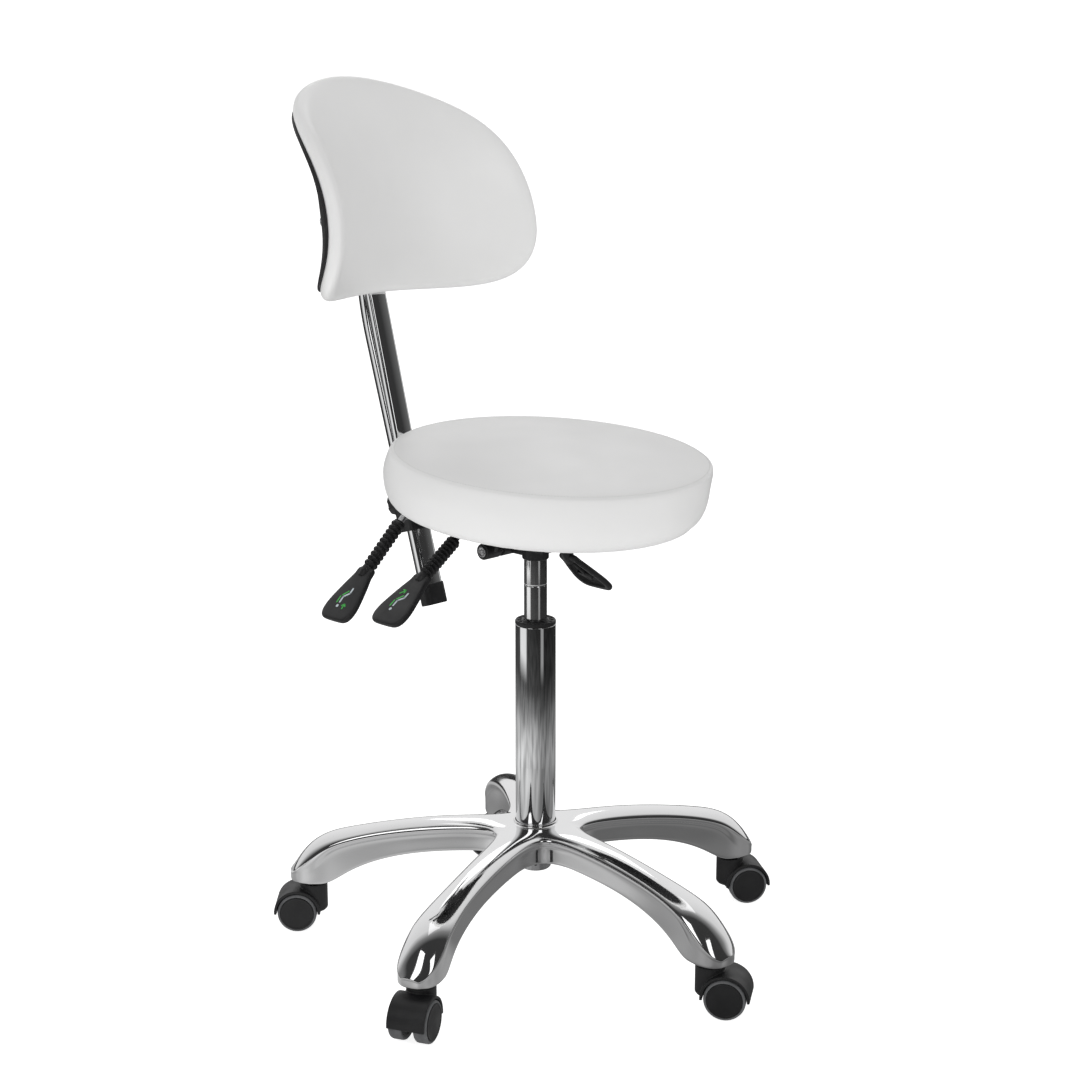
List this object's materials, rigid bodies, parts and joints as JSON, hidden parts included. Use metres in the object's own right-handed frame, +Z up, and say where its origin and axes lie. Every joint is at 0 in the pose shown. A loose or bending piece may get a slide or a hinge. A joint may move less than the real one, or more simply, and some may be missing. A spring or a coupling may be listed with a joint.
{
  "type": "dentist stool",
  "caption": "Dentist stool: polished star base on twin-wheel casters, gas lift, padded round seat and curved backrest that tilt and slide, with lever controls under the seat.",
  "frame": {"origin": "on the floor, on the axis of the gas-lift column", "axes": "+Z up, the sitter faces -Y, the sitter's right is -X"},
  "size_m": [0.6533, 0.692, 1.0604],
  "materials": {
    "polished_aluminium": "polished casting",
    "chrome": "mirror chrome plate",
    "machined_steel": "turned, plain",
    "black_coated_steel": "satin black powder coat",
    "black_plastic": "fine moulded texture",
    "black_rubber": "moulded",
    "caster_wheel": "grey soft tread on a black hub",
    "white_vinyl": "smooth upholstery vinyl",
    "seat_board": "plywood"
  },
  "bodies": {
    "base": {"base_star": "polished_aluminium", "column_tube": "chrome", "column_retainer": "machined_steel", "column_bushing": "black_plastic", "thrust_bearing": "machined_steel", "rubber_bumper": "black_rubber", "caster_1_stem": "chrome", "caster_2_stem": "chrome", "caster_3_stem": "chrome", "caster_4_stem": "chrome", "caster_5_stem": "chrome"},
    "piston": {"piston_rod": "machined_steel"},
    "carrier": {"inner_cylinder": "chrome", "release_pin": "machined_steel", "mechanism_chassis": "black_coated_steel", "tilt_pin": "chrome", "back_pin": "machined_steel"},
    "seat": {"seat_plate": "black_coated_steel", "seat_board": "seat_board", "seat_cushion": "white_vinyl"},
    "back_arm": {"back_bracket": "black_coated_steel"},
    "backrest": {"back_tube": "chrome", "back_tube_cap": "black_plastic", "back_carrier": "black_plastic", "back_shell": "black_plastic", "back_pad": "white_vinyl"},
    "clamp_knob": {"back_knob": "black_plastic"},
    "seat_lever": {"seat_lever_rod": "machined_steel", "seat_lever_bellows": "black_rubber", "seat_lever_paddle": "black_plastic"},
    "back_lever": {"back_lever_rod": "machined_steel", "back_lever_bellows": "black_rubber", "back_lever_paddle": "black_plastic"},
    "height_lever": {"height_lever_rod": "machined_steel", "height_lever_paddle": "black_plastic"},
    "caster_1": {"caster_1_housing": "black_plastic", "caster_1_axle": "machined_steel"},
    "caster_1_left": {"caster_1_wheel_left": "caster_wheel"},
    "caster_1_right": {"caster_1_wheel_right": "caster_wheel"},
    "caster_2": {"caster_2_housing": "black_plastic", "caster_2_axle": "machined_steel"},
    "caster_2_left": {"caster_2_wheel_left": "caster_wheel"},
    "caster_2_right": {"caster_2_wheel_right": "caster_wheel"},
    "caster_3": {"caster_3_housing": "black_plastic", "caster_3_axle": "machined_steel"},
    "caster_3_left": {"caster_3_wheel_left": "caster_wheel"},
    "caster_3_right": {"caster_3_wheel_right": "caster_wheel"},
    "caster_4": {"caster_4_housing": "black_plastic", "caster_4_axle": "machined_steel"},
    "caster_4_left": {"caster_4_wheel_left": "caster_wheel"},
    "caster_4_right": {"caster_4_wheel_right": "caster_wheel"},
    "caster_5": {"caster_5_housing": "black_plastic", "caster_5_axle": "machined_steel"},
    "caster_5_left": {"caster_5_wheel_left": "caster_wheel"},
    "caster_5_right": {"caster_5_wheel_right": "caster_wheel"}
  },
  "joints": [
    {"name": "column_swivel", "type": "hinge", "parent": "base", "child": "piston", "pos_m": [0, 0, 0.12], "axis": [0, 0, 1], "continuous": true},
    {"name": "gas_height", "type": "slide", "parent": "piston", "child": "carrier", "axis": [0, 0, 1], "range_m": [-0.045, 0.085]},
    {"name": "seat_tilt", "type": "hinge", "parent": "carrier", "child": "seat", "pos_m": [0, 0.034, 0.507], "axis": [1, 0, 0], "range_deg": [-8, 4]},
    {"name": "back_tilt", "type": "hinge", "parent": "carrier", "child": "back_arm", "pos_m": [0, 0.118, 0.533], "axis": [1, 0, 0], "range_deg": [-10, 6]},
    {"name": "back_height", "type": "slide", "parent": "back_arm", "child": "backrest", "axis": [0, 0.2948, 0.9555], "range_m": [-0.06, 0.06]},
    {"name": "knob_turn", "type": "hinge", "parent": "back_arm", "child": "clamp_knob", "pos_m": [0, 0.22234, 0.533], "axis": [0, 0.9555, -0.2948], "continuous": true},
    {"name": "seat_lever_lift", "type": "hinge", "parent": "carrier", "child": "seat_lever", "pos_m": [-0.022, 0.06, 0.538], "axis": [0, 1, 0], "range_deg": [0, 9], "stiffness_Nm_per_rad": 2.5, "springref_deg": -14.32},
    {"name": "back_lever_lift", "type": "hinge", "parent": "carrier", "child": "back_lever", "pos_m": [-0.022, 0.15, 0.538], "axis": [0, 1, 0], "range_deg": [0, 9], "stiffness_Nm_per_rad": 2.5, "springref_deg": -14.32},
    {"name": "height_lever_lift", "type": "hinge", "parent": "carrier", "child": "height_lever", "pos_m": [0.018, -0.02, 0.5235], "axis": [0, -1, 0], "range_deg": [0, 9], "stiffness_Nm_per_rad": 1, "springref_deg": -14.32},
    {"name": "caster_1_swivel", "type": "hinge", "parent": "base", "child": "caster_1", "pos_m": [0.16869, 0.23219, 0.05], "axis": [0, 0, 1], "continuous": true},
    {"name": "caster_1_left_spin", "type": "hinge", "parent": "caster_1", "child": "caster_1_left", "pos_m": [0.16352, 0.25151, 0.025], "axis": [-0.9659, -0.2588, 0], "continuous": true},
    {"name": "caster_1_right_spin", "type": "hinge", "parent": "caster_1", "child": "caster_1_right", "pos_m": [0.16352, 0.25151, 0.025], "axis": [-0.9659, -0.2588, 0], "continuous": true},
    {"name": "caster_2_swivel", "type": "hinge", "parent": "base", "child": "caster_2", "pos_m": [-0.16869, 0.23219, 0.05], "axis": [0, 0, 1], "continuous": true},
    {"name": "caster_2_left_spin", "type": "hinge", "parent": "caster_2", "child": "caster_2_left", "pos_m": [-0.18284, 0.24633, 0.025], "axis": [-0.7071, -0.7071, 0], "continuous": true},
    {"name": "caster_2_right_spin", "type": "hinge", "parent": "caster_2", "child": "caster_2_right", "pos_m": [-0.18284, 0.24633, 0.025], "axis": [-0.7071, -0.7071, 0], "continuous": true},
    {"name": "caster_3_swivel", "type": "hinge", "parent": "base", "child": "caster_3", "pos_m": [-0.27295, -0.08869, 0.05], "axis": [0, 0, 1], "continuous": true},
    {"name": "caster_3_left_spin", "type": "hinge", "parent": "caster_3", "child": "caster_3_left", "pos_m": [-0.29108, -0.09714, 0.025], "axis": [0.4226, -0.9063, 0], "continuous": true},
    {"name": "caster_3_right_spin", "type": "hinge", "parent": "caster_3", "child": "caster_3_right", "pos_m": [-0.29108, -0.09714, 0.025], "axis": [0.4226, -0.9063, 0], "continuous": true},
    {"name": "caster_4_swivel", "type": "hinge", "parent": "base", "child": "caster_4", "pos_m": [0, -0.287, 0.05], "axis": [0, 0, 1], "continuous": true},
    {"name": "caster_4_left_spin", "type": "hinge", "parent": "caster_4", "child": "caster_4_left", "pos_m": [0.01089, -0.30377, 0.025], "axis": [0.8387, 0.5446, 0], "continuous": true},
    {"name": "caster_4_right_spin", "type": "hinge", "parent": "caster_4", "child": "caster_4_right", "pos_m": [0.01089, -0.30377, 0.025], "axis": [0.8387, 0.5446, 0], "continuous": true},
    {"name": "caster_5_swivel", "type": "hinge", "parent": "base", "child": "caster_5", "pos_m": [0.27295, -0.08869, 0.05], "axis": [0, 0, 1], "continuous": true},
    {"name": "caster_5_left_spin", "type": "hinge", "parent": "caster_5", "child": "caster_5_left", "pos_m": [0.28934, -0.10016, 0.025], "axis": [0.5736, 0.8192, 0], "continuous": true},
    {"name": "caster_5_right_spin", "type": "hinge", "parent": "caster_5", "child": "caster_5_right", "pos_m": [0.28934, -0.10016, 0.025], "axis": [0.5736, 0.8192, 0], "continuous": true}
  ]
}
